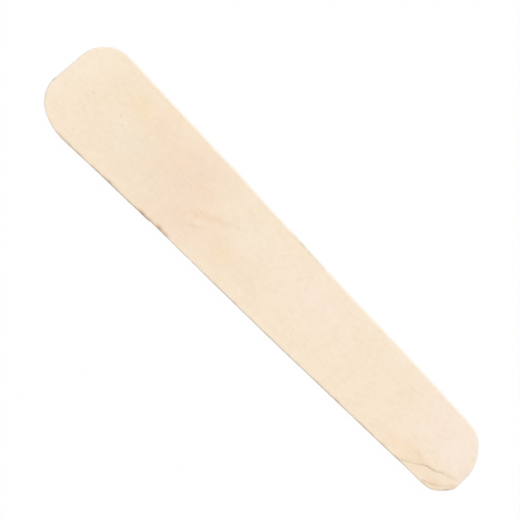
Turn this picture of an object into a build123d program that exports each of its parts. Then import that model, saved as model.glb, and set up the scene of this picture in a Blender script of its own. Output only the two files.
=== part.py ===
from build123d import *
from dataclasses import dataclass
from math import radians, sqrt, tan
import os

# A flat wax spatula, punched in one piece from a sheet of pale birch veneer.
#
# Frame, in millimetres: +X runs along the blade to its broad working end, +Y to
# the long side with the torn edge, and +Z up through the thickness. The origin
# is the middle of the box around the piece, on its underside.
#
# Below, the long side on +Y is called torn and the one on -Y sound.

# The blank
length = 200.0  # from end to end along the middle line
broad_width = 38.0  # across the long sides, where they would meet the broad end
narrow_width = 26.3  # across the long sides, where they would meet the narrow end
thickness = 2.0
broad_end_skew = 3.7  # degrees off square, further out on the torn side
narrow_end_skew = 0.6  # degrees off square, further in on the torn side

# The four corners, no two alike. Each is a quarter ellipse that starts this far
# from the sharp corner, along the long side and across the end.
broad_torn_along_side = 18.6
broad_torn_across_end = 13.8
broad_sound_along_side = 11.9
broad_sound_across_end = 12.2
narrow_sound_along_side = 12.6
narrow_sound_across_end = 14.8
narrow_torn_along_side = 10.0
narrow_torn_across_end = 9.0
least_flat_end = 1.5  # straight run that every end keeps between its two corners

# The arrises of both faces, eased by tumbling
arris_radius = 0.35
arris_share = 0.45  # the most of the thickness that one arris may take

# The splinter torn off the long side, shallow and right through the thickness
tear_from_broad_end = 57.0  # to where it broke off
tear_lip = 2.4  # length of the steep lip there
tear_length = 28.0  # from the foot of the lip to where the tear runs out
tear_depth = 0.36
tear_belly = 0.35  # share of its length at which it has half its depth

# The hollow bruised into the same side's upper arris
bruise_from_broad_end = 39.0
bruise_length = 19.0
bruise_radius = 0.45  # halfway along it


@dataclass
class Corner:
    """A rounded corner of the outline.

    sharp is the point that the rounding takes off. side_end and end_end are the
    sharp corners at the far ends of its long side and of its end of the blank.
    """

    sharp: Vector
    side_end: Vector
    end_end: Vector
    along_side: float
    across_end: float

    def on_side(self):
        """The point where the curve leaves the long side."""
        return self.sharp + (self.side_end - self.sharp).normalized() * self.along_side

    def on_end(self):
        """The point where the curve leaves the end."""
        return self.sharp + (self.end_end - self.sharp).normalized() * self.across_end

    def curve(self):
        """The quarter ellipse that is tangent to the side and to the end."""
        ellipse_weight = sqrt(2) / 2
        return Bezier(self.on_side(), self.sharp, self.on_end(), weights=[1, ellipse_weight, 1])


def flare():
    """How far each long side leaves the middle line for each millimetre of X."""
    return (broad_width - narrow_width) / 2 / length


def half_width(x):
    """The distance from the middle line to a long side, before the corners are rounded."""
    return (broad_width + narrow_width) / 4 + flare() * x


def sharp_corner(end_x, skew, side):
    """The point where a long side meets an end.

    end_x is where the end crosses the middle line, skew is its angle to the Y axis
    in degrees, and side is 1 for the torn long side and -1 for the sound one.
    """
    lean = tan(radians(skew))
    y = side * half_width(end_x) / (1 - side * flare() * lean)
    return Vector(end_x + lean * y, y)


def room_share(torn, sound, wanted):
    """The share of their wanted run across an end that the two corners there can have."""
    return min(1, ((torn - sound).length - least_flat_end) / wanted)


def outline():
    """The face of the blank: two flared sides, two skewed ends and four unlike corners."""
    broad_torn = sharp_corner(length / 2, broad_end_skew, 1)
    broad_sound = sharp_corner(length / 2, broad_end_skew, -1)
    narrow_sound = sharp_corner(-length / 2, narrow_end_skew, -1)
    narrow_torn = sharp_corner(-length / 2, narrow_end_skew, 1)

    broad = room_share(broad_torn, broad_sound, broad_torn_across_end + broad_sound_across_end)
    narrow = room_share(narrow_torn, narrow_sound, narrow_torn_across_end + narrow_sound_across_end)
    corners = [
        Corner(
            broad_torn, narrow_torn, broad_sound, broad_torn_along_side, broad * broad_torn_across_end
        ),
        Corner(
            broad_sound, narrow_sound, broad_torn, broad_sound_along_side, broad * broad_sound_across_end
        ),
        Corner(
            narrow_sound, broad_sound, narrow_torn, narrow_sound_along_side, narrow * narrow_sound_across_end
        ),
        Corner(
            narrow_torn, broad_torn, narrow_sound, narrow_torn_along_side, narrow * narrow_torn_across_end
        ),
    ]
    first, second, third, fourth = corners
    straights = [
        Line(first.on_end(), second.on_end()),
        Line(second.on_side(), third.on_side()),
        Line(third.on_end(), fourth.on_end()),
        Line(fourth.on_side(), first.on_side()),
    ]
    return make_face([corner.curve() for corner in corners] + straights)


def blank():
    """The piece before it was damaged, with the arrises of both faces eased."""
    plate = extrude(outline(), thickness)
    underside, top = plate.faces().filter_by(Axis.Z).sort_by(Axis.Z)
    rims = underside.edges() + top.edges()
    return fillet(rims, min(arris_radius, arris_share * thickness))


def torn_side_plane(from_broad_end, z):
    """A plane on the torn side: X towards the narrow end, Y into the wood and Z up."""
    x = length / 2 - from_broad_end
    return Plane(origin=(x, half_width(x), z), x_dir=(-1, -flare(), 0), z_dir=(0, 0, 1))


def tear():
    """What the splinter took: a steep lip, then a slow fade back out to the side."""
    lip_foot = (tear_lip, tear_depth)
    halfway = (tear_lip + tear_belly * tear_length, tear_depth / 2)
    run_out = (tear_lip + tear_length, 0)
    outside = -tear_depth  # how far the cut stands clear of the wood
    section = make_face(
        [
            Line((0, 0), lip_foot),
            Bezier(lip_foot, halfway, run_out),
            Polyline(run_out, (tear_lip + tear_length, outside), (0, outside), (0, 0)),
        ]
    )
    return extrude(torn_side_plane(tear_from_broad_end, 0) * section, thickness)


def bruise():
    """What the bruise took: a slender spindle that lies along the upper arris."""
    section = make_face(
        [
            ThreePointArc((0, 0), (bruise_length / 2, bruise_radius), (bruise_length, 0)),
            Line((bruise_length, 0), (0, 0)),
        ]
    )
    return torn_side_plane(bruise_from_broad_end, thickness) * revolve(section, Axis.X, 360)


def spatula():
    """The whole piece, with the middle of its box over the origin."""
    damaged = blank() - tear() - bruise()
    middle = damaged.bounding_box().center()
    return Pos(-middle.X, -middle.Y, 0) * damaged


os.makedirs("parts", exist_ok=True)
piece = spatula()
piece.label = "spatula"
export_step(piece, "parts/spatula.step")
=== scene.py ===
import logging
import math
from dataclasses import dataclass, field
from enum import Enum
from typing import Any

import bpy
import numpy as np
from mathutils import Matrix, Vector


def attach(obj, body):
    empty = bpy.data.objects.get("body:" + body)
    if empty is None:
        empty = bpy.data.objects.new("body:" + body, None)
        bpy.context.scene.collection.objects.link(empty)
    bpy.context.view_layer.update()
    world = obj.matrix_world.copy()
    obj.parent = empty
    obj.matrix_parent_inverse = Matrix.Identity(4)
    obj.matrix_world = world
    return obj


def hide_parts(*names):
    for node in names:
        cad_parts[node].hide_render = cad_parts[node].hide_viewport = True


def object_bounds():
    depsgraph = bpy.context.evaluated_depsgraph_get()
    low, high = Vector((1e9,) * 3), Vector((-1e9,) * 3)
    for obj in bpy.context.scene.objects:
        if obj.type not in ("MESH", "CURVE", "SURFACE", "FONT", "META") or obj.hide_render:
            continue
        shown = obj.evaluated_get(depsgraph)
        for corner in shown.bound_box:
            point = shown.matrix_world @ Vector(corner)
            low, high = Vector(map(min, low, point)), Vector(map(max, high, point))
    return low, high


# A flat wooden wax spatula of pale birch veneer, seen from above on white.
#
# Places and sizes are millimetres in the CAD's frame until a mesh is made:
# +X to the broad end, +Y to the long side with the torn edge, +Z up.

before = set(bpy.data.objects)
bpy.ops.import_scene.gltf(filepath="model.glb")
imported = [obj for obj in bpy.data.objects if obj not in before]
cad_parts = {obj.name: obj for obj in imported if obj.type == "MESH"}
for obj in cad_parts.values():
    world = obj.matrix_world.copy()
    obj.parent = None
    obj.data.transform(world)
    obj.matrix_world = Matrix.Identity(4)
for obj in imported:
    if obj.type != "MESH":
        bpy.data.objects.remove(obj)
CAD_LOW, CAD_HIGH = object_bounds()

MM = 0.001
PHOTO_SIZE = 520  # pixels across the photograph and the render
WHITE = (1.0, 1.0, 1.0, 1.0)

# The sRGB curve, a straight line below its knee and a power above it
SRGB_KNEE = 0.04045
SRGB_SLOPE = 12.92
SRGB_OFFSET = 0.055
SRGB_POWER = 2.4

# Settings that several nodes share
EASED = {"interpolation_type": "SMOOTHSTEP"}  # a range that eases from 0 to 1
LAID = {"data_type": "RGBA", "blend_type": "MIX"}  # a colour over another
SOAKED = {"data_type": "RGBA", "blend_type": "MULTIPLY"}  # a colour soaked into another
BLENDED = {"data_type": "FLOAT"}  # a height with another
PLUS = {"operation": "ADD"}
TIMES = {"operation": "MULTIPLY"}
TIMES_PLUS = {"operation": "MULTIPLY_ADD"}  # the first by the second, plus the third

Span = tuple[float, float]  # where something starts, and where it is full or gone

log = logging.getLogger("spatula")


class Side(Enum):
    """The two long sides, by the sign of their Y."""

    TORN = 1
    SOUND = -1


def linear(colour: str) -> tuple[float, float, float, float]:
    """Turns an sRGB hex colour into linear light.

    Args:
        colour: Six hex digits after a hash sign.

    Returns:
        Red, green, blue and an alpha of 1. Each channel is divided by the curve's
        slope below its knee. Above it, it is shifted and raised to the curve's power.
    """
    parts = np.array([int(colour[i : i + 2], 16) for i in (1, 3, 5)]) / 255
    curved = ((parts + SRGB_OFFSET) / (1 + SRGB_OFFSET)) ** SRGB_POWER
    light = np.where(parts <= SRGB_KNEE, parts / SRGB_SLOPE, curved)
    return (*(float(c) for c in light), 1.0)


def unit(v: np.ndarray) -> np.ndarray:
    """Returns the vectors scaled to length 1 along their last axis."""
    return v / np.linalg.norm(v, axis=-1, keepdims=True)


def smooth(x: np.ndarray, low: float, high: float) -> np.ndarray:
    """Returns 0 below low, 1 above high and the cubic ease 3t^2 - 2t^3 between them."""
    t = np.clip((x - low) / (high - low), 0.0, 1.0)
    return t * t * (3 - 2 * t)


@dataclass(frozen=True)
class Waves:
    """A gentle random surface: a sum of cosine waves with seeded directions and phases."""

    along: float  # wavelength along X, in mm
    across: float  # wavelength across, along Y and Z, in mm
    seed: int
    count: int = 28

    def at(self, x: np.ndarray, y: np.ndarray, z: np.ndarray | float = 0.0) -> np.ndarray:
        """Gives the surface's height at each point, with a spread of about 1.

        Args:
            x, y, z: Arrays of one shape, in mm.

        Returns:
            The sum over the waves of cos(kx x + ky y + kz z + phase), times
            the square root of two over their number.
        """
        rng = np.random.default_rng(self.seed)
        k = rng.normal(size=(self.count, 3)) * 2 * math.pi
        k /= np.array([self.along, self.across, self.across]) * math.sqrt(3)
        phase = rng.uniform(0, 2 * math.pi, self.count)
        points = np.stack(np.broadcast_arrays(x, y, z), axis=-1)
        return np.cos(points @ k.T + phase).sum(-1) * math.sqrt(2 / self.count)


@dataclass(frozen=True)
class Patch:
    """A soft oval patch on the blade, in mm, with the strength that something has there."""

    x: float
    y: float
    long: float
    wide: float
    strength: float = 1.0
    turn: float = 0.0  # degrees from +X towards +Y

    def at(self, x: np.ndarray, y: np.ndarray) -> np.ndarray:
        """Gives the patch's share at each point.

        Args:
            x, y: Places in mm.

        Returns:
            The strength times exp(-(a / long)^2 - (b / wide)^2), where a and b are the
            distances from its middle along its own two axes.
        """
        c, s = math.cos(math.radians(self.turn)), math.sin(math.radians(self.turn))
        a = c * (x - self.x) + s * (y - self.y)
        b = c * (y - self.y) - s * (x - self.x)
        return self.strength * np.exp(-((a / self.long) ** 2) - (b / self.wide) ** 2)


def total(patches: tuple[Patch, ...], x: np.ndarray, y: np.ndarray) -> np.ndarray:
    """Returns the sum of the patches' shares at each point."""
    return sum(patch.at(x, y) for patch in patches)


@dataclass(frozen=True)
class Tint:
    """A colour that the wood takes in some places."""

    name: str
    colour: str
    patches: tuple[Patch, ...]

    def share(self, x: np.ndarray, y: np.ndarray) -> np.ndarray:
        """Returns how far each point takes the colour, from 0 to 1."""
        return np.clip(total(self.patches, x, y), 0, 1)


@dataclass(frozen=True)
class Vein:
    """A dark line in the wood: a smooth curve on the face that dives through the thickness."""

    name: str
    colour: str
    half_width: float  # from its middle to where it has faded out
    points: tuple[tuple[float, float], ...]
    strength: tuple[float, ...]  # at each of the points
    lip: float = 0.0  # width of the paler stain along its torn side
    dive: float = 0.5  # sideways shift for each mm of depth
    reach: float = 8.0  # beyond which nothing of it is seen

    def curve(self, count: int = 90) -> np.ndarray:
        """Samples the curve through the points, each coordinate a cubic with natural slopes.

        Args:
            count: How many samples to take.

        Returns:
            An array of count rows of X and Y: a Catmull-Rom curve, whose slope at each
            point is half the step between its two neighbours.
        """
        p = np.array(self.points, float)
        slope = np.gradient(p, axis=0)
        t = np.linspace(0, len(p) - 1, count)
        i = np.minimum(t.astype(int), len(p) - 2)
        f = (t - i)[:, None]
        return (
            (2 * f**3 - 3 * f**2 + 1) * p[i]
            + (f**3 - 2 * f**2 + f) * slope[i]
            + (3 * f**2 - 2 * f**3) * p[i + 1]
            + (f**3 - f**2) * slope[i + 1]
        )

    def measure(self, x: np.ndarray, y: np.ndarray, depth: np.ndarray) -> np.ndarray:
        """Measures every point against the curve.

        Args:
            x, y: Places in mm.
            depth: How far each lies below the upper face, in mm.

        Returns:
            Three columns: the signed distance from the curve in mm, the strength at its
            nearest place, and how far along it that place is from 0 to 1.
        """
        line = self.curve()
        run = np.diff(line, axis=0)
        normal = np.stack([-run[:, 1], run[:, 0]], 1) / np.linalg.norm(run, axis=1)[:, None]
        columns = np.tile([self.reach, 0.0, 0.0], (len(x), 1))
        close = (x > line[:, 0].min() - self.reach) & (x < line[:, 0].max() + self.reach)
        place = np.stack([x, y - self.dive * depth], 1)[close]
        off = place[:, None, :] - line[None, :-1, :]
        t = np.clip((off * run).sum(-1) / (run * run).sum(-1), 0, 1)
        gap = off - t[..., None] * run
        distance = np.linalg.norm(gap, axis=-1)
        near = distance.argmin(1)
        rows = np.arange(len(near))
        side = np.sign((gap[rows, near] * normal[near]).sum(-1))
        share = (near + t[rows, near]) / len(run)
        strength = np.interp(share, np.linspace(0, 1, len(self.strength)), self.strength)
        columns[close] = np.stack([distance[rows, near] * side, strength, share], 1)
        return columns


@dataclass(frozen=True)
class CornerRound:
    """How far a corner's quarter ellipse starts from the sharp corner, in mm."""

    along_side: float
    across_end: float


@dataclass(frozen=True)
class Outline:
    """The punched outline: flared sides, skewed ends and four unlike corners."""

    length: float = 200.0
    broad_width: float = 38.0
    narrow_width: float = 26.3
    broad_skew: float = 3.7
    narrow_skew: float = 0.6
    broad_torn: CornerRound = CornerRound(18.6, 13.8)
    broad_sound: CornerRound = CornerRound(11.9, 12.2)
    narrow_sound: CornerRound = CornerRound(12.6, 14.8)
    narrow_torn: CornerRound = CornerRound(10.0, 9.0)

    def flare(self) -> float:
        """Returns how far a long side leaves the middle line for each mm of X."""
        return (self.broad_width - self.narrow_width) / 2 / self.length

    def half_width(self, x: np.ndarray | float) -> np.ndarray | float:
        """Returns the distance from the middle line to a long side at x."""
        return (self.broad_width + self.narrow_width) / 4 + self.flare() * x

    def sharp(self, end_x: float, skew: float, side: Side) -> np.ndarray:
        """Finds where a long side meets an end.

        Args:
            end_x: Where the end crosses the middle line.
            skew: The end's angle to the Y axis, in degrees.
            side: Which long side.

        Returns:
            The point that lies on both straight lines.
        """
        lean = math.tan(math.radians(skew))
        s = side.value
        y = s * self.half_width(end_x) / (1 - s * self.flare() * lean)
        return np.array([end_x + lean * y, y])

    def arc(
        self,
        corner: tuple[np.ndarray, np.ndarray, np.ndarray, CornerRound],
        start: float,
        stop: float,
        count: int = 240,
    ) -> np.ndarray:
        """Samples part of a corner's quarter ellipse.

        Args:
            corner: The sharp corner, the next ones along its side and its end, and its round.
            start, stop: The part wanted, where 0 is on the long side and 1 on the end.
            count: How many samples to take.

        Returns:
            Points C + (P - B) cos t + (P - A) sin t, where P is the sharp corner, A and
            B are the ends of the curve, C is A + B - P and t is up to a quarter turn.
        """
        sharp, side_end, end_end, reach = corner
        on_side = sharp + unit(side_end - sharp) * reach.along_side
        on_end = sharp + unit(end_end - sharp) * reach.across_end
        turn = np.linspace(start, stop, count)[:, None] * math.pi / 2
        centre = on_side + on_end - sharp
        return centre + (sharp - on_end) * np.cos(turn) + (sharp - on_side) * np.sin(turn)

    def quarters(self) -> list[np.ndarray]:
        """Draws the outline as four curves that meet in the middles of the corners.

        Returns:
            The sound side and the torn side from narrow to broad, and the broad end and
            the narrow end from sound to torn, in the order sound side, broad end, torn
            side, narrow end.
        """
        bt = self.sharp(self.length / 2, self.broad_skew, Side.TORN)
        bs = self.sharp(self.length / 2, self.broad_skew, Side.SOUND)
        ns = self.sharp(-self.length / 2, self.narrow_skew, Side.SOUND)
        nt = self.sharp(-self.length / 2, self.narrow_skew, Side.TORN)
        broad_torn = (bt, nt, bs, self.broad_torn)
        broad_sound = (bs, ns, bt, self.broad_sound)
        narrow_sound = (ns, bs, nt, self.narrow_sound)
        narrow_torn = (nt, bt, ns, self.narrow_torn)
        return [
            np.concatenate([self.arc(narrow_sound, 0.5, 0), self.arc(broad_sound, 0, 0.5)]),
            np.concatenate([self.arc(broad_sound, 0.5, 1), self.arc(broad_torn, 1, 0.5)]),
            np.concatenate([self.arc(narrow_torn, 0.5, 0), self.arc(broad_torn, 0, 0.5)]),
            np.concatenate([self.arc(narrow_sound, 0.5, 1), self.arc(narrow_torn, 1, 0.5)]),
        ]

    def middle(self) -> np.ndarray:
        """Returns the middle of the box around the outline."""
        every = np.concatenate(self.quarters())
        return (every.min(0) + every.max(0)) / 2


def store(mesh: bpy.types.Mesh, name: str, values: np.ndarray) -> None:
    """Stores a value, or a row of three, for each point of a mesh as an attribute."""
    kind, part = ("FLOAT", "value") if values.ndim == 1 else ("FLOAT_VECTOR", "vector")
    mesh.attributes.new(name, kind, "POINT").data.foreach_set(part, values.ravel())


def placed(name: str, data: bpy.types.ID) -> bpy.types.Object:
    """Adds an object of the data to the scene."""
    thing = bpy.data.objects.new(name, data)
    bpy.context.scene.collection.objects.link(thing)
    return thing


def respaced(line: np.ndarray, count: int) -> np.ndarray:
    """Returns count points at even steps of arc length along a line of X and Y."""
    step = np.linalg.norm(np.diff(line, axis=0), axis=1)
    run = np.concatenate([[0], np.cumsum(step)])
    even = np.linspace(0, run[-1], count)
    return np.stack([np.interp(even, run, line[:, 0]), np.interp(even, run, line[:, 1])], 1)


@dataclass(frozen=True)
class EdgeWear:
    """What punching, tumbling and handling did to the rim, in mm.

    A facing is how far the rim faces a long side, from 0 to 1, given as the value
    where something starts and the one where it is full. A turn is counted round an
    arris from the flat face, in half turns, so that the wall begins at a half. The
    pale colour on the upper arris is painted light: a painted glow where it catches
    the lamp, painted shade round the ends, and a lift of the torn side's shaded rim.
    """

    arris: float = 0.35  # radius of the lower arris
    torn_arris: float = 0.42  # of the upper one on the torn side
    end_arris: float = 0.7  # round the ends
    soft_arris: float = 0.95  # and on the sound side, where it was handled most
    least_arris: float = 0.1  # what the keen stretches leave of it
    arris_spread: float = 0.07  # how far a radius wanders
    upper_spread: Waves = Waves(5.0, 5.0, 32)
    lower_spread: Waves = Waves(6.0, 6.0, 33)
    torn_facing: Span = (0.6, 0.95)  # for the tear and the bruise
    soft_facing: Span = (0.2, 0.9)  # for the sound side's soft arris
    glowless_facing: Span = (0.3, 0.9)  # for where the torn side has no painted glow
    wander: float = 0.02  # slow wave of the punched line
    wander_waves: Waves = Waves(36.0, 36.0, 31)
    bows: tuple[Patch, ...] = (
        # The torn side with its two corners
        Patch(100.2, 4.3, 4.0, 1.6, -0.12),
        Patch(95.5, 15.0, 6.0, 5.0, 0.14),
        Patch(81.0, 18.0, 11.0, 9.0, 0.2),
        Patch(46.3, 17.4, 2.4, 5.0, -0.08),
        Patch(41.6, 17.2, 0.9, 5.0, 0.14),
        Patch(39.0, 17.0, 7.0, 9.0, -0.06),
        Patch(38.2, 16.9, 1.2, 5.0, 0.1),
        Patch(32.0, 16.8, 2.4, 5.0, -0.05),
        Patch(19.0, 17.0, 6.0, 9.0, -0.17),
        Patch(-20.0, 15.5, 20.0, 9.0, 0.2),
        Patch(-84.0, 13.5, 8.0, 9.0, -0.2),
        Patch(-93.4, 12.7, 1.5, 1.5, 0.13),
        Patch(-97.3, 10.0, 1.6, 1.4, -0.16),
        Patch(-99.7, 7.4, 1.3, 1.2, 0.1),
        Patch(-100.0, 6.8, 3.0, 2.0, 0.12),
        # The sound side with its corners and the narrow end
        Patch(98.5, -9.5, 2.5, 4.5, 0.13),
        Patch(94.0, -15.5, 4.5, 4.0, 0.2),
        Patch(87.5, -18.4, 2.5, 4.0, -0.2),
        Patch(77.0, -18.0, 7.0, 9.0, -0.1),
        Patch(66.0, -18.0, 5.0, 9.0, -0.08),
        Patch(52.0, -17.5, 6.0, 9.0, 0.14),
        Patch(31.0, -17.0, 9.0, 9.0, 0.24),
        Patch(15.0, -16.5, 5.0, 9.0, -0.1),
        Patch(-10.0, -15.5, 6.0, 9.0, -0.14),
        Patch(-22.0, -15.5, 12.0, 9.0, -0.2),
        Patch(-51.0, -14.5, 7.0, 9.0, 0.08),
        Patch(-66.0, -14.0, 12.0, 9.0, 0.13),
        Patch(-89.0, -13.4, 2.5, 4.0, -0.07),
        Patch(-94.2, -11.2, 1.8, 2.0, 0.1),
        Patch(-97.0, -8.4, 2.5, 2.5, -0.1),
        Patch(-100.0, -1.0, 4.0, 2.5, 0.1),
    )  # where the outline stands proud of the punch's, or shy of it
    # Pale patches on the torn side's upper arris and wall: partly frayed fibre, partly painted
    # light lifting the rim out of its shade
    lifting_frays: tuple[Patch, ...] = (
        Patch(92.0, 16.5, 7.0, 5.0, 0.9),
        Patch(52.0, 17.5, 6.0, 4.0, 0.2),
        Patch(24.0, 17.0, 10.0, 4.0, 0.6),
        Patch(2.0, 16.0, 10.0, 4.0, 0.35),
        Patch(0.0, 16.0, 90.0, 5.0, 0.25),
        Patch(-21.0, 15.5, 12.0, 4.0, 0.45),
        Patch(-81.0, 13.5, 7.0, 4.0, 0.4),
        Patch(-86.5, 13.3, 2.5, 4.0, 0.3),
        Patch(-96.0, 11.0, 4.0, 3.0, 0.35),
    )  # where the torn side's upper arris is frayed pale: partly real fraying, partly painted light that lifts the shaded rim
    keens: tuple[Patch, ...] = (
        Patch(91.5, 16.5, 7.0, 5.0, 0.28),
        Patch(70.0, 18.0, 1.3, 2.0, 0.2),
        Patch(20.0, 17.0, 7.0, 4.0, 0.2),
        Patch(-2.2, 16.0, 1.3, 2.0, 0.2),
        Patch(-74.3, 13.9, 1.3, 2.0, 0.2),
        Patch(-84.5, 13.4, 4.0, 4.0, 0.22),
        Patch(-95.2, 12.0, 2.0, 2.0, 0.2),
    )  # where that arris was left keener, by what comes off its radius
    lifting_fray_depth: Span = (0.1, 0.7)  # shares of the wall where it fades and ends
    glow_start: Span = (0.0, 0.2)  # turns over which the pale colour of painted glow and fray comes
    glow_end: Span = (0.3, 0.55)  # and, on the sound side and the ends, where it is painted glow, goes
    cut_delay: float = 0.25  # turn at which cut wood shows where the rim follows the fibres
    cut_run: float = 0.3  # turn over which it comes
    cut_most: float = 0.9  # share of it at the foot of the arris
    wall_bulge: float = 0.03  # how far the wall swells halfway down
    rag: float = 0.018  # quick unevenness of the cut wall
    end_rag: float = 0.035  # the same where it cuts across the fibres
    rag_waves: Waves = Waves(1.6, 1.6, 34)
    rag_upright: float = 3.0  # how many times longer it is down the wall than along it
    splinter: float = 0.06  # steps of the torn wall, from layer to layer
    splinter_waves: Waves = Waves(7.0, 0.9, 35)
    tear_from_broad_end: float = 57.0
    tear_lip: float = 2.4
    tear_length: float = 28.0
    tear_depth: float = 0.36
    tear_belly: float = 0.35
    tear_keen: float = 0.6  # share of the upper arris that went with the splinter
    bruise_from_broad_end: float = 39.0
    bruise_length: float = 19.0
    bruise_radius: float = 0.45
    bruise_round: float = 1.15  # radius of the bruised arris over the hollow's own

    def tear(self, from_broad_end: np.ndarray) -> np.ndarray:
        """Gives how deep the torn splinter left the long side.

        Args:
            from_broad_end: Distance along the blade from the broad end.

        Returns:
            A straight ramp over the lip, then a fade that is half the depth at the belly's
            share of the length: (1 - s) to the power that takes it through that point.
        """
        s = from_broad_end - self.tear_from_broad_end
        lip = np.clip(s / self.tear_lip, 0, 1)
        fade = np.clip(1 - (s - self.tear_lip) / self.tear_length, 0, 1)
        power = math.log(0.5) / math.log(1 - self.tear_belly)
        return self.tear_depth * lip * fade**power

    def bruise(self, from_broad_end: np.ndarray) -> np.ndarray:
        """Returns the radius of the hollow along the upper arris: a shallow arc, 1 - t^2."""
        t = (from_broad_end - self.bruise_from_broad_end) / self.bruise_length * 2 - 1
        return self.bruise_radius * np.clip(1 - t * t, 0, 1)


@dataclass
class Blade:
    """The spatula's skin: two faces and the rim between them, with its wear and its figure."""

    outline: Outline = field(default_factory=Outline)
    wear: EdgeWear = field(default_factory=EdgeWear)
    cells_along: int = 440
    cells_across: int = 84
    arc_steps: int = 5
    wall_steps: int = 6
    swell: float = 0.045  # slow unevenness of the upper face
    swell_waves: Waves = Waves(70.0, 26.0, 11)
    ripple_waves: Waves = Waves(16.0, 7.0, 12)  # quicker ones upon them
    ripple_share: float = 0.4
    hollow: float = 0.03  # most that the underside clears the table
    hollow_waves: Waves = Waves(80.0, 30.0, 21)
    hollow_span: Span = (-1.0, 2.0)  # of those waves, over which it rises
    thickness: float = (CAD_HIGH.z - CAD_LOW.z) / MM

    def ring(self) -> tuple[np.ndarray, np.ndarray]:
        """Walks once round the outline, anticlockwise from above.

        Returns:
            The points and their outward normals. Each normal is the walk's direction
            turned a quarter turn clockwise.
        """
        sound, broad, torn, narrow = self.outline.quarters()
        along, across = self.cells_along + 1, self.cells_across + 1
        points = np.concatenate(
            [
                respaced(sound, along)[:-1],
                respaced(broad, across)[:-1],
                respaced(torn, along)[::-1][:-1],
                respaced(narrow, across)[::-1][:-1],
            ]
        )
        step = unit(np.roll(points, -1, 0) - np.roll(points, 1, 0))
        return points - self.outline.middle(), np.stack([step[:, 1], -step[:, 0]], 1)

    def patch(self, rim: np.ndarray) -> np.ndarray:
        """Fills a closed rim with a grid, as a Coons patch.

        Args:
            rim: The rim's points in the order of ring().

        Returns:
            A grid of points, by the share u along and v across. Each is the blend of the
            two sides by v, plus the blend of the two ends by u, less the blend of the
            four corners by both.
        """
        m, n = self.cells_along, self.cells_across
        sound, broad = rim[: m + 1], rim[m : m + n + 1]
        torn = rim[m + n : 2 * m + n + 1][::-1]
        narrow = np.concatenate([rim[2 * m + n :], rim[:1]])[::-1]
        u = np.linspace(0, 1, m + 1)[:, None, None]
        v = np.linspace(0, 1, n + 1)[None, :, None]
        sides = (1 - v) * sound[:, None] + v * torn[:, None]
        ends = (1 - u) * narrow[None] + u * broad[None]
        corners = (
            (1 - u) * (1 - v) * sound[0]
            + u * (1 - v) * sound[-1]
            + (1 - u) * v * torn[0]
            + u * v * torn[-1]
        )
        return sides + ends - corners

    def grid(self) -> np.ndarray:
        """Returns the index of each point of a face's grid, by its row and column."""
        rows, columns = self.cells_along + 1, self.cells_across + 1
        return np.arange(rows * columns).reshape(rows, columns)

    def rim_order(self) -> np.ndarray:
        """Returns the grid's own indices of its rim, in the order of ring()."""
        index = self.grid()
        return np.concatenate([index[:-1, 0], index[-1, :-1], index[:0:-1, -1], index[0, :0:-1]])

    def upper(self, x: np.ndarray, y: np.ndarray) -> np.ndarray:
        """Returns the upper face's height: the thickness less two scales of slow waves."""
        waves = self.swell_waves.at(x, y) + self.ripple_share * self.ripple_waves.at(x, y)
        return self.thickness - self.swell * (0.5 - 0.5 * waves)

    def lower(self, x: np.ndarray, y: np.ndarray) -> np.ndarray:
        """Returns the underside's height, never below the table: slow waves from 0 up."""
        return self.hollow * smooth(self.hollow_waves.at(x, y), *self.hollow_span)

    def cut_share(self, turn: float, across_fibres: np.ndarray) -> np.ndarray:
        """Gives how far an arris shows cut wood.

        Args:
            turn: From the flat face, where it is 0, to the wall, in radians.
            across_fibres: How squarely the rim there crosses the fibres.

        Returns:
            An ease over the turn that starts at once where the rim crosses the fibres,
            whose ends then lie open, and halfway round where it runs along them.
        """
        start = self.wear.cut_delay * math.pi * (1 - across_fibres)
        return self.wear.cut_most * smooth(turn - start, 0.0, self.wear.cut_run * math.pi)

    def upper_radius(
        self, base: np.ndarray, normal: np.ndarray, torn_off: np.ndarray, bruise: np.ndarray
    ) -> np.ndarray:
        """Gives the radius of the upper arris round the outline.

        Args:
            base: The outline's points.
            normal: Their outward normals.
            torn_off: How far the splinter is gone at each of them, from 0 to 1.
            bruise: The radius of the bruise there.

        Returns:
            The torn side's radius, blended to the ends' by the square of the normal's X
            and then to the sound side's by its facing, plus its wander, less what went
            with the splinter and at the keen stretches. It is at least the bruise's.
        """
        wear = self.wear
        on_sound = smooth(-normal[:, 1], *wear.soft_facing)
        spread = wear.arris_spread * wear.upper_spread.at(*base.T)
        radius = wear.torn_arris + (wear.end_arris - wear.torn_arris) * normal[:, 0] ** 2
        radius = radius + (wear.soft_arris - radius) * on_sound + spread
        radius = radius * (1 - wear.tear_keen * torn_off) - total(wear.keens, *base.T)
        return np.maximum(np.maximum(radius, wear.least_arris), wear.bruise_round * bruise)

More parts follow.
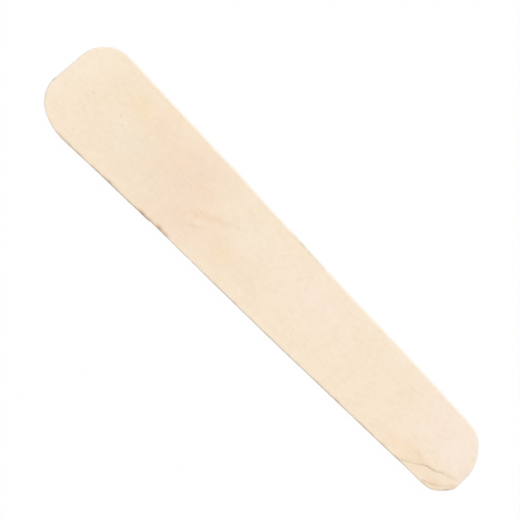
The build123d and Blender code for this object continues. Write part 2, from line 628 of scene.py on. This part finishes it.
    def rim_rows(self) -> tuple[np.ndarray, np.ndarray, np.ndarray]:
        """Carries the edge's section round the outline.

        Returns:
            The points of each row of the section, from the upper face to the underside,
            how far the row belongs to the cut wall, from 0 to 1, and how far it takes the
            pale colour: a painted glow on the lit upper arris of the sound side and the
            ends, and on the torn side's frayed stretches a pale fray that is partly painted
            light lifting the shaded rim, there fading out down the wall. The section is a
            quarter turn of the upper arris, the wall and a quarter turn of the lower arris.
            It is pushed in by the tear and the bruise, and out or in by the bows and the
            wander of the punch and by the rag of the cut.
        """
        base, normal = self.ring()
        x, y = base.T
        wear = self.wear
        from_broad = self.outline.length / 2 - (x + self.outline.middle()[0])
        across_fibres, facing = np.abs(normal[:, 0]), normal[:, 1]
        on_torn = smooth(facing, *wear.torn_facing)
        torn_off = wear.tear(from_broad) / wear.tear_depth * on_torn
        bows = total(wear.bows, x, y)
        shift = wear.wander * wear.wander_waves.at(x, y) + bows - wear.tear(from_broad) * on_torn
        top_radius = self.upper_radius(base, normal, torn_off, wear.bruise(from_broad) * on_torn)
        low_radius = wear.arris - wear.arris_spread * wear.lower_spread.at(x, y)
        lifting_fray = np.clip(total(wear.lifting_frays, x, y), 0, 1)
        open_side = 1 - smooth(facing, *wear.glowless_facing)

        high, low = self.upper(x, y), self.lower(x, y)
        turn = np.linspace(0, math.pi / 2, self.arc_steps + 1)
        rows, wall, glow_share = [], [], []
        for t in turn:
            rows.append((top_radius * (math.sin(t) - 1), high - top_radius * (1 - math.cos(t))))
            wall.append(self.cut_share(t, across_fibres))
            # The pale upper arris of the sound side and the ends is a painted glow where it
            # catches the light
            painted_glow = open_side * (1 - smooth(t / math.pi, *wear.glow_end))
            glow_share.append(smooth(t / math.pi, *wear.glow_start) * np.maximum(painted_glow, lifting_fray))
        for share in np.linspace(0, 1, self.wall_steps + 1)[1:-1]:
            bulge = wear.wall_bulge * math.sin(share * math.pi)
            z = (1 - share) * (high - top_radius) + share * (low + low_radius)
            rows.append((np.full_like(x, bulge), z))
            wall.append(np.ones_like(x))
            # On the torn side the pale fray, partly painted light lifting the shaded wall, fades
            # down the wall
            glow_share.append(lifting_fray * (1 - smooth(share, *wear.lifting_fray_depth)))
        for t in turn[::-1]:
            rows.append((low_radius * (math.sin(t) - 1), low + low_radius * (1 - math.cos(t))))
            wall.append(self.cut_share(t, across_fibres))
            glow_share.append(np.zeros_like(x))

        rag = wear.rag + (wear.end_rag - wear.rag) * across_fibres
        points = []
        for (out, z), on_wall in zip(rows, wall):
            quick = rag * wear.rag_waves.at(x, y, z / wear.rag_upright)
            layers = wear.splinter * torn_off * wear.splinter_waves.at(x, y, z)
            place = base + normal * (shift + out + on_wall * (quick + layers))[:, None]
            points.append(np.column_stack([place, z]))
        return np.array(points), np.array(wall), np.array(glow_share)

    def build(self) -> bpy.types.Object:
        """Builds the skin as one closed mesh and stores what its finish reads.

        Returns:
            The new object, with its place in its mesh.
        """
        rows, wall, glow_share = self.rim_rows()
        top = self.patch(rows[0, :, :2]).reshape(-1, 2)
        under = self.patch(rows[-1, :, :2]).reshape(-1, 2)
        top = np.column_stack([top, self.upper(*top.T)])
        under = np.column_stack([under, self.lower(*under.T)])
        rim = self.rim_order()
        inner = rows[1:-1].reshape(-1, 3)
        points = np.concatenate([top, under, inner])

        offset = 2 * len(top)
        between = np.arange(len(inner)).reshape(-1, len(rim)) + offset
        here = np.concatenate([rim[None], between, rim[None] + len(top)])
        after = np.roll(here, -1, 1)
        band = np.stack([here[:-1], here[1:], after[1:], after[:-1]], -1).reshape(-1, 4)
        grid = self.grid()
        cells = [grid[:-1, :-1], grid[1:, :-1], grid[1:, 1:], grid[:-1, 1:]]
        face = np.stack(cells, -1).reshape(-1, 4)
        faces = np.concatenate([face, face[:, ::-1] + len(top), band])

        mesh = bpy.data.meshes.new("veneer_blade")
        mesh.from_pydata(points * MM, [], faces)
        mesh.polygons.foreach_set("use_smooth", np.ones(len(faces), bool))
        cut = np.zeros((len(points), 3))
        cut[offset:, 0] = wall[1:-1].ravel()
        cut[offset:, 1] = np.tile(np.abs(self.ring()[1][:, 0]), len(wall) - 2)
        cut[offset:, 2] = glow_share[1:-1].ravel()
        store(mesh, "cut", cut)
        mesh.validate()
        return placed("veneer_blade", mesh)

    def dress(self, skin: bpy.types.Object, finish: "BirchVeneer") -> None:
        """Marks the tints and the veins on the skin and gives it its material.

        Args:
            skin: What build() returned.
            finish: The wood.
        """
        mesh = skin.data
        flat = np.empty(len(mesh.vertices) * 3)
        mesh.vertices.foreach_get("co", flat)
        x, y, z = flat.reshape(-1, 3).T / MM
        depth = self.thickness - z
        for tint in finish.tints:
            store(mesh, tint.name, tint.share(x, y))
        fade = 1 - smooth(depth, *finish.rim_darkening_depth)
        store(mesh, finish.rim_darkening.name, finish.rim_darkening.share(x, y) * fade)
        for vein in finish.veins:
            store(mesh, vein.name, vein.measure(x, y, depth))
        mesh.materials.append(finish.material())


class Graph:
    """A node tree that starts empty, with one call that adds a node."""

    def __init__(self, owner: bpy.types.Material | bpy.types.World) -> None:
        """Clears the owner's nodes."""
        owner.use_nodes = True
        self.tree = owner.node_tree
        self.tree.nodes.clear()

    def add(
        self, kind: str, inputs: dict[Any, Any] | None = None, **settings: Any
    ) -> bpy.types.Node:
        """Adds a node.

        Args:
            kind: The node's type, without its Shader prefix.
            inputs: For each input, by the name or the place of its socket, a value, a
                source socket, or a source node, whose first live output is taken.
            settings: The node's own properties.

        Returns:
            The new node.
        """
        node = self.tree.nodes.new("ShaderNode" + kind)
        for name, value in settings.items():
            setattr(node, name, value)
        for key, value in (inputs or {}).items():
            live = [s for s in node.inputs if s.enabled]
            socket = live[key] if isinstance(key, int) else next(s for s in live if s.name == key)
            if isinstance(value, bpy.types.Node):
                value = next(s for s in value.outputs if s.enabled)
            if isinstance(value, bpy.types.NodeSocket):
                self.tree.links.new(value, socket)
            else:
                socket.default_value = value
        return node


@dataclass(frozen=True)
class Streaks:
    """One scale of the wood's figure: a noise drawn out along the blade."""

    long: float
    wide: float
    detail: float
    weight: float = 0.0  # how much it counts in the lightness


@dataclass(frozen=True)
class Fleck:
    """A small brown fleck in the upper face, in mm."""

    x: float
    y: float
    long: float
    wide: float


@dataclass(frozen=True)
class BirchVeneer:
    """Birch, peeled from the log by a knife, punched, tumbled smooth and left bare.

    It gives a pale cream face with a faint silky fibre along the blade, sparse darker
    pores, a slow flame where the knife crossed the growth rings, a swirl and a knot
    with stained veins, and a duller, browner wall where the punch crushed the fibres.
    """

    ground: str = "#F8E6D0"
    deep: str = "#FBF9F5"  # the darkest fibre multiplies the ground by this
    pore: str = "#FCF9F5"  # and a pore by this
    fleck: str = "#F9F5EF"  # and a fleck by this
    wall: str = "#F0DDC2"
    wall_deep: str = "#DCC3A2"
    fray_and_glow_colour: str = "#EEE7DC"  # pale colour on the upper arris: a painted glow where it catches the lamp, and on the torn side's frayed stretches a pale fray that also lifts the shaded rim
    end_glow_and_shade_colour: str = "#EEE6DB"  # the same round the ends, a little greyer: painted shade where the end arris turns from the light
    tints: tuple[Tint, ...] = (
        # Broad rosy clouds of the flame
        Tint("warm", "#F4DDC7", (
            Patch(62.0, 9.0, 8.0, 6.0, 0.25),
            Patch(61.0, -8.0, 13.0, 5.0, 0.5),
            Patch(44.0, -4.0, 15.0, 10.0, 1.0, 35.0),
            Patch(38.0, 11.0, 11.0, 8.0, 0.75),
            Patch(32.5, -2.0, 3.6, 2.6, 0.35),
            Patch(25.0, 8.0, 8.0, 5.0, 0.45),
            Patch(13.0, 8.0, 7.0, 5.0, 0.35),
            Patch(1.0, 8.5, 8.0, 3.0, 0.3, -40.0),
        )),
        # Orange stain round the swirl and the knot
        Tint("ember", "#F4DBBF", (
            Patch(32.5, -3.8, 4.6, 3.4, 0.4),
            Patch(31.6, 3.6, 4.2, 2.2, 0.9, 36.0),
            Patch(25.8, 0.8, 3.6, 1.3, 0.9, 26.0),
            Patch(21.5, -2.0, 4.0, 1.8, 0.4, 30.0),
            Patch(21.0, 3.2, 4.5, 3.0, 0.22, -20.0),
            Patch(15.6, 7.2, 3.4, 2.4, 0.3),
        )),
        # Golden clouds, and sap along the torn side
        Tint("olive", "#F6E2C3", (
            Patch(97.0, 2.5, 3.5, 3.0, 0.2),
            Patch(83.0, -7.0, 9.0, 9.0, 0.2),
            Patch(71.6, -9.7, 4.5, 3.0, 0.75),
            Patch(66.0, -6.5, 9.0, 4.0, 0.35),
            Patch(58.0, 0.0, 18.0, 20.0, 0.12),
            Patch(58.0, -15.5, 8.0, 2.5, 0.15),
            Patch(52.0, -2.5, 6.0, 2.5, 0.4, 35.0),
            Patch(48.0, 15.5, 3.0, 2.5, 0.2),
            Patch(20.0, 3.6, 5.0, 3.4, 0.3, -20.0),
            Patch(14.2, 7.0, 4.5, 3.0, 0.6),
            Patch(4.0, -14.0, 9.0, 3.0, 0.22),
            Patch(-8.0, -2.0, 17.0, 14.0, 0.15),
            Patch(-74.0, 10.5, 10.0, 2.6, 0.45),
            Patch(-79.6, 7.8, 1.6, 1.2, 0.4),
            Patch(-83.5, 8.0, 7.0, 1.6, 0.6),
            Patch(-88.2, 6.3, 3.6, 1.5, 0.3),
        )),
        # Greyer wood between the warm clouds
        Tint("cool", "#F3E3CE", (
            Patch(66.5, 2.6, 8.0, 5.0, 0.9),
            Patch(48.5, 8.0, 5.0, 5.0, 0.7),
            Patch(27.0, -12.0, 12.0, 3.0, 0.2),
            Patch(13.0, -5.6, 8.0, 5.0, 0.5),
        )),
        # Pinkish pale wood of the narrow half
        Tint("pearl", "#FAE9DB", (
            Patch(-14.0, -5.0, 20.0, 8.0, 0.5),
            Patch(-78.0, -11.5, 13.0, 4.5, 0.4),
            Patch(-95.0, -3.0, 18.0, 8.5, 0.85),
        )),
        # Palest wood, at the broad end and along the sides
        Tint("milk", "#FCEEDB", (
            Patch(98.0, -7.5, 7.0, 8.0, 0.6),
            Patch(98.0, 7.0, 5.0, 8.0, 0.3),
            Patch(93.0, -14.0, 6.0, 5.0, 0.3),
            Patch(-25.0, 15.5, 14.0, 2.0, 0.25),
            Patch(-50.0, -15.0, 30.0, 2.5, 0.35),
            Patch(-52.0, -11.5, 16.0, 2.5, 0.14),
            Patch(-64.0, -13.8, 7.0, 1.6, 0.5),
        )),
        # Brown wood beyond the dark vein
        Tint("tan", "#F1DDC4", (
            Patch(-84.0, 10.0, 6.0, 3.0, 0.3, -30.0),
            Patch(-95.5, 11.4, 6.5, 2.0, 0.85, -12.0),
            Patch(-95.5, 5.0, 3.2, 0.9, 0.5, 20.0),
            Patch(-98.6, 8.0, 1.2, 2.0, 0.6),
        )),
        # Small orange spots beside the vein and the bruise
        Tint("blush", "#FDDEC1", (
            Patch(46.1, 16.3, 0.6, 0.6, 0.8),
            Patch(38.2, 15.9, 0.6, 0.6, 0.8),
            Patch(-73.6, 9.9, 2.6, 1.5, 0.55),
            Patch(-78.4, 11.6, 1.2, 0.8, 0.35),
            Patch(-80.0, 7.0, 0.9, 0.8, 0.8),
            Patch(-86.9, 10.6, 1.4, 0.9, 0.4),
            Patch(-91.8, 10.9, 1.2, 0.9, 0.6),
            Patch(-97.4, 5.6, 1.0, 0.9, 0.3),
        )),
    )
    # Darker brown marks along the rim, which deepen its dark edge line in places, strongest at
    # the upper face and fading down the wall
    rim_darkening: Tint = Tint("rim_darkening", "#A08468", (
        # On the broad end and the torn side
        Patch(100.2, 6.2, 0.5, 0.7, 0.8),
        Patch(84.0, 18.4, 1.6, 0.5, 0.16),
        Patch(81.3, 18.2, 2.2, 0.5, 0.15),
        Patch(79.6, 18.3, 1.2, 0.5, 0.1),
        Patch(75.0, 18.2, 1.8, 0.5, 0.16),
        Patch(68.5, 17.9, 1.2, 0.5, 0.12),
        Patch(66.0, 17.9, 1.0, 0.5, 0.3),
        Patch(63.4, 17.8, 1.0, 0.5, 0.2),
        Patch(60.6, 17.7, 1.5, 0.6, 0.5),
        Patch(57.4, 17.6, 1.8, 0.5, 0.25),
        Patch(50.8, 17.4, 1.4, 0.5, 0.12),
        Patch(48.2, 17.4, 0.8, 0.5, 0.12),
        Patch(44.8, 17.2, 1.8, 0.7, 0.68),
        Patch(42.4, 17.0, 1.0, 0.5, 0.24),
        Patch(41.0, 16.9, 1.4, 0.7, 0.34),
        Patch(37.1, 16.6, 1.5, 0.8, 0.62),
        Patch(34.0, 16.5, 1.6, 0.7, 0.33),
        Patch(25.2, 16.9, 0.7, 0.5, 0.12),
        Patch(13.2, 16.4, 0.7, 0.5, 0.08),
        Patch(9.4, 16.1, 1.2, 0.5, 0.18),
        Patch(0.3, 16.0, 1.0, 0.5, 0.17),
        Patch(-15.0, 15.7, 0.7, 0.5, 0.08),
        Patch(-26.0, 15.4, 0.8, 0.5, 0.1),
        Patch(-30.3, 15.2, 1.2, 0.5, 0.1),
        Patch(-39.3, 14.9, 1.8, 0.5, 0.12),
        Patch(-49.3, 14.6, 1.2, 0.5, 0.38),
        Patch(-62.0, 14.2, 2.2, 0.5, 0.22),
        Patch(-65.8, 14.1, 0.9, 0.5, 0.12),
        Patch(-71.1, 13.9, 1.5, 0.5, 0.22),
        Patch(-77.6, 13.6, 1.2, 0.5, 0.2),
        Patch(-90.3, 12.6, 0.9, 0.35, 0.32),
        Patch(-98.1, 8.3, 1.8, 0.5, 0.1, 52.0),
        Patch(-99.1, 7.5, 0.6, 0.6, 0.08),
        # On the sound side
        Patch(3.0, -15.6, 0.9, 0.45, 0.08),
        Patch(1.2, -15.6, 1.0, 0.5, 0.13),
        Patch(-1.3, -15.35, 1.1, 0.5, 0.26),
        Patch(-3.1, -15.25, 1.1, 0.45, 0.24),
        Patch(-6.3, -15.1, 1.8, 0.5, 0.2),
        Patch(-10.0, -15.0, 1.8, 0.45, 0.18),
        Patch(-12.8, -14.8, 0.9, 0.4, 0.15),
    ))
    rim_darkening_depth: Span = (0.4, 1.7)  # where it starts to fade and has gone
    veins: tuple[Vein, ...] = (
        Vein(
            "vein_main",
            "#D0BCA5",
            0.5,
            (
                (-77.1, 14.5), (-79.7, 12.9), (-83.1, 10.95), (-86.6, 8.6), (-88.8, 7.85),
                (-91.1, 7.2), (-92.5, 6.2), (-93.6, 5.8), (-95.1, 5.6), (-96.3, 5.0),
                (-98.6, 4.2), (-101.1, 3.5),
            ),
            (0.2, 0.28, 0.27, 0.44, 0.66, 0.42, 0.33, 0.26, 0.17, 0.12, 0.05, 0.03),
            lip=1.6,
        ),
        Vein(
            "vein_branch",
            "#F3E8D4",
            1.5,
            ((-78.6, 6.3), (-81.2, 7.0), (-83.8, 7.7), (-87.2, 8.0)),
            (0.0, 0.2, 0.25, 0.0),
        ),
        Vein(
            "vein_swirl",
            "#F3ECD6",
            1.1,
            ((32.2, 9.1), (30.8, 8.4), (29.2, 7.6), (27.7, 6.6), (25.6, 4.7), (24.2, 3.8)),
            (0.0, 0.3, 0.32, 0.3, 0.15, 0.0),
        ),
        Vein(
            "vein_low",
            "#ECE0D1",
            0.8,
            ((-89.6, 12.4), (-92.2, 11.7), (-94.6, 10.3), (-97.4, 7.7), (-100.4, 5.1)),
            (0.0, 0.6, 0.45, 0.3, 0.2),
        ),
    )
    flecks: tuple[Fleck, ...] = (
        Fleck(74.5, -1.4, 1.3, 0.6),
        Fleck(87.0, -0.3, 0.8, 0.5),
        Fleck(85.8, 5.1, 0.8, 0.5),
        Fleck(72.0, 0.4, 0.6, 0.4),
        Fleck(33.3, 4.4, 0.7, 0.4),
        Fleck(31.0, 4.2, 0.6, 0.4),
        Fleck(30.8, 2.1, 0.7, 0.4),
        Fleck(76.0, 15.4, 0.6, 0.4),
        Fleck(93.5, 10.8, 0.6, 0.4),
    )
    fibre: Streaks = Streaks(2.8, 0.7, 2.0, 0.2)  # real fibre is finer, and wouldn't show
    strand: Streaks = Streaks(22.0, 2.0, 2.0, 0.3)  # bands of denser fibre
    mottle: Streaks = Streaks(1.7, 1.4, 2.0, 0.88)  # short dapple of a peeled face
    flame: Streaks = Streaks(8.0, 19.0, 1.0, 0.4)  # growth rings, cut nearly flat
    pores: Streaks = Streaks(2.8, 0.32, 0.0)  # real ones are 0.1 mm wide, and wouldn't show
    knife: Streaks = Streaks(1.1, 14.0, 1.0)  # chatter marks of the peeling knife
    sway: Streaks = Streaks(60.0, 18.0, 1.0)  # slow bends of the fibre
    edges: Streaks = Streaks(1.3, 1.0, 2.0)  # what unsettles the edges of veins and flecks
    drift: float = 3.0  # how far the sway takes the fibre off the blade's line
    pore_span: Span = (0.64, 0.74)  # of their noise, from none to a pore
    vein_rag: float = 0.9  # mm between the most that a vein's edge is shifted either way
    vein_core: float = 0.1  # share of its half width that has its full strength
    lip_start: Span = (-0.2, 0.1)  # mm off the vein where its stain comes
    lip_share: float = 0.35  # of the vein's own strength
    fleck_rag: float = 1.5  # how far its edge is unsettled, in its own sizes
    fleck_span: Span = (1.9, 1.0)  # where it starts and is full, in them too
    fleck_depth: float = 0.5
    wall_reliefs: tuple[tuple[float, float, float], ...] = (
        (0.14, 0.14, 5.0),
        (2.8, 2.8, 2.8),
        (3.2, 3.2, 0.25),
    )  # features for each mm of X, Y and Z: the layers, the pore ends and the scores
    scored: float = 0.45  # share of the scores in the wall's relief
    wall_span: Span = (0.7, 0.3)  # of its height, from pale to deep
    relief: float = 0.03  # mm of bump between pore and fibre
    bump: float = 0.6  # strength of that bump
    knife_relief: float = 0.5  # height of the chatter over the fibre's
    pore_relief: float = -0.8  # and of the pores, which are sunk
    roughness: float = 0.62
    roughness_spread: float = 0.08
    ior: float = 1.5  # of cellulose
    specular: float = 0.35  # bare wood is open, and shines less than its cellulose would

    def noise(self, g: Graph, place: Any, streaks: Streaks) -> bpy.types.Node:
        """Adds a noise whose features have the streaks' length and width."""
        step = (1 / streaks.long, 1 / streaks.wide, 1 / streaks.wide)
        vector = g.add("VectorMath", {0: place, 1: step}, **TIMES)
        return g.add("TexNoise", {"Vector": vector, "Scale": 1.0, "Detail": streaks.detail})

    def marked(self, g: Graph, name: str) -> bpy.types.Node:
        """Adds the reading of an attribute's three parts."""
        mark = g.add("Attribute", attribute_name=name)
        return g.add("SeparateXYZ", {0: mark.outputs["Vector"]})

    def vein(self, g: Graph, base: Any, vein: Vein, ragged: Any) -> bpy.types.Node:
        """Draws one vein over the base colour.

        Args:
            g: The material's graph.
            base: The colour so far.
            vein: The vein.
            ragged: A noise about a half that unsettles its edge.

        Returns:
            The colour with the vein's lip, a stain on one side that fades away from it,
            and then its line.
        """
        read = self.marked(g, vein.name)
        colour, strength = linear(vein.colour), read.outputs[1]
        wobble = {0: ragged, 1: self.vein_rag, 2: -self.vein_rag / 2}
        shift = g.add("Math", wobble, **TIMES_PLUS)
        off = g.add("Math", {0: read.outputs[0], 1: shift}, **PLUS)
        gap = g.add("Math", {0: off}, operation="ABSOLUTE")
        core = self.vein_core * vein.half_width
        ends = {"Value": gap, "From Min": vein.half_width, "From Max": core}
        line = g.add("MapRange", ends, **EASED)
        if vein.lip:
            ends = {"Value": off, "From Min": vein.lip, "From Max": 0.0}
            share = g.add("MapRange", ends, **EASED)
            start, full = self.lip_start
            ends = {"Value": off, "From Min": start, "From Max": full}
            for factor in (g.add("MapRange", ends, **EASED), strength, self.lip_share):
                share = g.add("Math", {0: share, 1: factor}, **TIMES)
            base = g.add("Mix", {"Factor": share, "A": base, "B": colour}, **SOAKED)
        share = g.add("Math", {0: line, 1: strength}, **TIMES)
        return g.add("Mix", {"Factor": share, "A": base, "B": colour}, **SOAKED)

    def face(self, g: Graph, place: Any, layers: dict[str, bpy.types.Node]) -> bpy.types.Node:
        """Colours the two faces: ground, tints, figure, pores, veins and flecks.

        Args:
            g: The material's graph.
            place: The place in mm.
            layers: The noises of the figure, by the names of their streaks.

        Returns:
            The colour.
        """
        colour: Any = linear(self.ground)
        for tint in self.tints:
            share = g.add("Attribute", attribute_name=tint.name).outputs["Fac"]
            tinted = {"Factor": share, "A": colour, "B": linear(tint.colour)}
            colour = g.add("Mix", tinted, **LAID)

        shade: Any = 0.5
        for name in ("fibre", "strand", "mottle", "flame"):
            weight = 2 * getattr(self, name).weight
            off = g.add("Math", {0: 0.5, 1: layers[name]}, operation="SUBTRACT")
            shade = g.add("Math", {0: off, 1: weight, 2: shade}, **TIMES_PLUS)
        for share, tone in ((shade, self.deep), (layers["pores"], self.pore)):
            toned = {"Factor": share, "A": colour, "B": linear(tone)}
            colour = g.add("Mix", toned, **SOAKED)

        ragged = self.noise(g, place, self.edges)
        for vein in self.veins:
            colour = self.vein(g, colour, vein, ragged)
        start, full = self.fleck_span
        for fleck in self.flecks:
            middle = (-fleck.x, -fleck.y, -Blade.thickness)
            off = g.add("VectorMath", {0: place, 1: middle}, **PLUS)
            size = (1 / fleck.long, 1 / fleck.wide, 1 / self.fleck_depth)
            scaled = g.add("VectorMath", {0: off, 1: size}, **TIMES)
            length = g.add("VectorMath", {0: scaled}, operation="LENGTH").outputs["Value"]
            rough = {0: ragged, 1: self.fleck_rag, 2: length}
            rough = g.add("Math", rough, **TIMES_PLUS)
            ends = {"Value": rough, "From Min": start, "From Max": full}
            share = g.add("MapRange", ends, **EASED)
            flecked = {"Factor": share, "A": colour, "B": linear(self.fleck)}
            colour = g.add("Mix", flecked, **SOAKED)
        return colour

    def cut(self, g: Graph, place: Any, crossing: Any) -> tuple[bpy.types.Node, bpy.types.Node]:
        """Colours the punched wall.

        Args:
            g: The material's graph.
            place: The place in mm.
            crossing: How squarely the cut crosses the fibres.

        Returns:
            The colour, and the height of its relief: layers along the fibres on the long
            sides, pore ends where it crosses them, and fine upright scores everywhere.
        """
        patterns = []
        for stretch in self.wall_reliefs:
            vector = g.add("VectorMath", {0: place, 1: stretch}, **TIMES)
            patterns.append(g.add("TexNoise", {"Vector": vector, "Scale": 1.0}))
        layers, ends, scores = patterns
        fibres = g.add("Mix", {"Factor": crossing, "A": layers, "B": ends}, **BLENDED)
        height = g.add("Mix", {"Factor": self.scored, "A": fibres, "B": scores}, **BLENDED)
        pale, deep = self.wall_span
        span = {"Value": height, "From Min": pale, "From Max": deep}
        share = g.add("MapRange", span, **EASED)
        colours = {"Factor": share, "A": linear(self.wall), "B": linear(self.wall_deep)}
        return g.add("Mix", colours, **LAID), height

    def material(self) -> bpy.types.Material:
        """Makes the material.

        Returns:
            A Principled surface. Its bump is the fibre with the pores sunk into it and
            the knife's chatter across it, and on the wall the relief of the cut.
        """
        material = bpy.data.materials.new("birch_veneer_peeled_punched_bare")
        g = Graph(material)
        metres = g.add("TexCoord").outputs["Object"]
        place = g.add("VectorMath", {0: metres, 1: (1 / MM,) * 3}, **TIMES)
        slow = self.noise(g, place, self.sway).outputs["Color"]
        sway = g.add("VectorMath", {0: slow, 1: (0, self.drift, 0)}, **TIMES)
        grain = g.add("VectorMath", {0: place, 1: sway}, **PLUS)
        layers: dict[str, bpy.types.Node] = {}
        for name in ("fibre", "strand", "pores"):
            layers[name] = self.noise(g, grain, getattr(self, name))
        for name in ("mottle", "flame", "knife"):
            layers[name] = self.noise(g, place, getattr(self, name))
        none, pore = self.pore_span
        span = {"Value": layers["pores"], "From Min": none, "From Max": pore}
        layers["pores"] = g.add("MapRange", span, **EASED)

        cut = self.marked(g, "cut")
        on_wall, crossing, glow_share = cut.outputs
        face = self.face(g, place, layers)
        wall, wall_height = self.cut(g, place, crossing)
        colour = g.add("Mix", {"Factor": on_wall, "A": face, "B": wall}, **LAID)
        # The pale rim colour is painted light: a painted glow on the lit arris, greyer painted
        # shade round the ends, and a lift of the torn side's shaded rim
        glow_colours = {"Factor": crossing, "A": linear(self.fray_and_glow_colour), "B": linear(self.end_glow_and_shade_colour)}
        painted_glow = g.add("Mix", glow_colours, **LAID)
        colour = g.add("Mix", {"Factor": glow_share, "A": colour, "B": painted_glow}, **LAID)
        darkened = g.add("Attribute", attribute_name=self.rim_darkening.name).outputs["Fac"]
        marks = {"Factor": darkened, "A": colour, "B": linear(self.rim_darkening.colour)}
        colour = g.add("Mix", marks, **SOAKED)

        height: Any = layers["fibre"]
        for name, share in (("knife", self.knife_relief), ("pores", self.pore_relief)):
            height = g.add("Math", {0: layers[name], 1: share, 2: height}, **TIMES_PLUS)
        height = g.add("Mix", {"Factor": on_wall, "A": height, "B": wall_height}, **BLENDED)
        relief = {"Height": height, "Strength": self.bump, "Distance": self.relief * MM}
        bump = g.add("Bump", relief)
        low, high = self.roughness - self.roughness_spread, self.roughness + self.roughness_spread
        rough = g.add("MapRange", {"Value": layers["strand"], "To Min": low, "To Max": high})
        look = {"Base Color": colour, "Roughness": rough, "Normal": bump}
        look |= {"IOR": self.ior, "Specular IOR Level": self.specular}
        g.add("OutputMaterial", {"Surface": g.add("BsdfPrincipled", look)})
        return material


@dataclass(frozen=True)
class Studio:
    """A white sweep under a wide soft lamp, with even light from all round."""

    sky: float = 0.6
    key: float = 0.4  # what the lamp adds to the light on a level surface
    key_height: float = 52.0  # degrees above the table
    key_turn: float = 6.0  # degrees towards the broad end from square on the sound side
    key_width: float = 40.0  # degrees across, for the softness of its shadows
    floor_span: float = 6.0  # metres
    floor_colour: str = "#F4F4F4"
    floor_shown: float = 0.97  # share of plain white in what the eye sees of the floor

    def eye(self, g: Graph) -> bpy.types.Node:
        """Adds what is 1 for a ray that the eye follows: straight, mirrored or let through."""
        rays = g.add("LightPath")
        seen: Any = rays.outputs["Is Camera Ray"]
        for kind in ("Is Glossy Ray", "Is Transmission Ray"):
            seen = g.add("Math", {0: seen, 1: rays.outputs[kind]}, operation="MAXIMUM")
        return seen

    def world(self) -> None:
        """Lights the scene evenly and shows white beyond the floor."""
        world = bpy.data.worlds.new("white_sweep")
        bpy.context.scene.world = world
        g = Graph(world)
        strength = g.add("MapRange", {"Value": self.eye(g), "To Min": self.sky, "To Max": 1.0})
        light = g.add("Background", {"Color": WHITE, "Strength": strength})
        g.add("OutputWorld", {"Surface": light})

    def lamp(self) -> None:
        """Hangs the key lamp over the sound side, so that the torn side's wall is in shade."""
        data = bpy.data.lights.new("key_softbox", "SUN")
        height, turn = math.radians(self.key_height), math.radians(self.key_turn)
        data.energy = self.key * math.pi / math.sin(height)
        data.angle = math.radians(self.key_width)
        lamp = placed("key_softbox", data)
        level = Vector((math.sin(turn), -math.cos(turn), 0.0))
        towards = math.cos(height) * level + Vector((0.0, 0.0, math.sin(height)))
        lamp.rotation_mode = "QUATERNION"
        lamp.rotation_quaternion = towards.to_track_quat("Z", "Y")

    def floor(self) -> None:
        """Lays the white table, which keeps a faint shadow of the blade."""
        half = self.floor_span / 2
        corners = [(-half, -half, 0), (half, -half, 0), (half, half, 0), (-half, half, 0)]
        mesh = bpy.data.meshes.new("white_table")
        mesh.from_pydata(corners, [], [(0, 1, 2, 3)])
        material = bpy.data.materials.new("white_card_matt")
        g = Graph(material)
        share = g.add("Math", {0: self.eye(g), 1: self.floor_shown}, **TIMES)
        card = g.add("BsdfDiffuse", {"Color": linear(self.floor_colour)})
        white = g.add("Emission", {"Color": WHITE, "Strength": 1.0})
        g.add("OutputMaterial", {"Surface": g.add("MixShader", {0: share, 1: card, 2: white})})
        mesh.materials.append(material)
        placed("white_table", mesh)

    def build(self) -> None:
        """Sets up the world, the lamp and the floor."""
        self.world()
        self.lamp()
        self.floor()
        bpy.context.scene.view_settings.view_transform = "Standard"


@dataclass(frozen=True)
class PhotoCamera:
    """The photograph's view: from above, a little to the torn side, on a long lens."""

    pixels_per_mm: float = 2.860  # length of the blade in the photograph over its length
    axis_angle: float = 45.48  # of the blade's line below level in the photograph
    middle: tuple[float, float] = (267.2, 271.1)  # pixel of the blade's middle
    tilt: float = 7.0  # degrees off upright, towards the torn side
    lens: float = 100.0
    sensor: float = 36.0
    nearest: float = 0.01  # metres from the lens that it shows
    furthest: float = 20.0

    def build(self) -> None:
        """Places the camera.

        The blade's line and middle fall where the photograph has them: the camera looks
        from a point above the one that the photograph has in its middle.
        """
        tilt, turn = math.radians(self.tilt), math.radians(self.axis_angle)
        back = Vector((0.0, math.sin(tilt), math.cos(tilt)))
        across = Vector((0.0, math.cos(tilt), -math.sin(tilt)))
        along = Vector((1.0, 0.0, 0.0))
        right = -math.cos(turn) * along - math.sin(turn) * across
        up = math.sin(turn) * along - math.cos(turn) * across
        span = PHOTO_SIZE / self.pixels_per_mm
        aim = Vector((0.0, 0.0, (CAD_LOW.z + CAD_HIGH.z) / 2 / MM))
        aim += right * (PHOTO_SIZE / 2 - self.middle[0]) / self.pixels_per_mm
        aim -= up * (PHOTO_SIZE / 2 - self.middle[1]) / self.pixels_per_mm
        data = bpy.data.cameras.new("photo_camera")
        data.lens, data.sensor_width = self.lens, self.sensor
        data.clip_start, data.clip_end = self.nearest, self.furthest
        camera = placed("photo_camera", data)
        camera.rotation_mode = "QUATERNION"
        camera.rotation_quaternion = Matrix((right, up, back)).transposed().to_quaternion()
        camera.location = (aim + back * (self.lens / self.sensor * span)) * MM
        bpy.context.scene.camera = camera


def main() -> None:
    """Builds and dresses the blade, then sets up the studio and the camera."""
    logging.basicConfig(level=logging.INFO, format="%(name)s: %(message)s")
    blade = Blade()
    skin = blade.build()
    blade.dress(skin, BirchVeneer())
    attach(skin, "root")
    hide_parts("spatula")
    mesh = skin.data
    log.info("%s: %d vertices, %d faces", skin.name, len(mesh.vertices), len(mesh.polygons))
    Studio().build()
    PhotoCamera().build()
    log.info("studio and camera set")


if __name__ == "__main__":
    main()
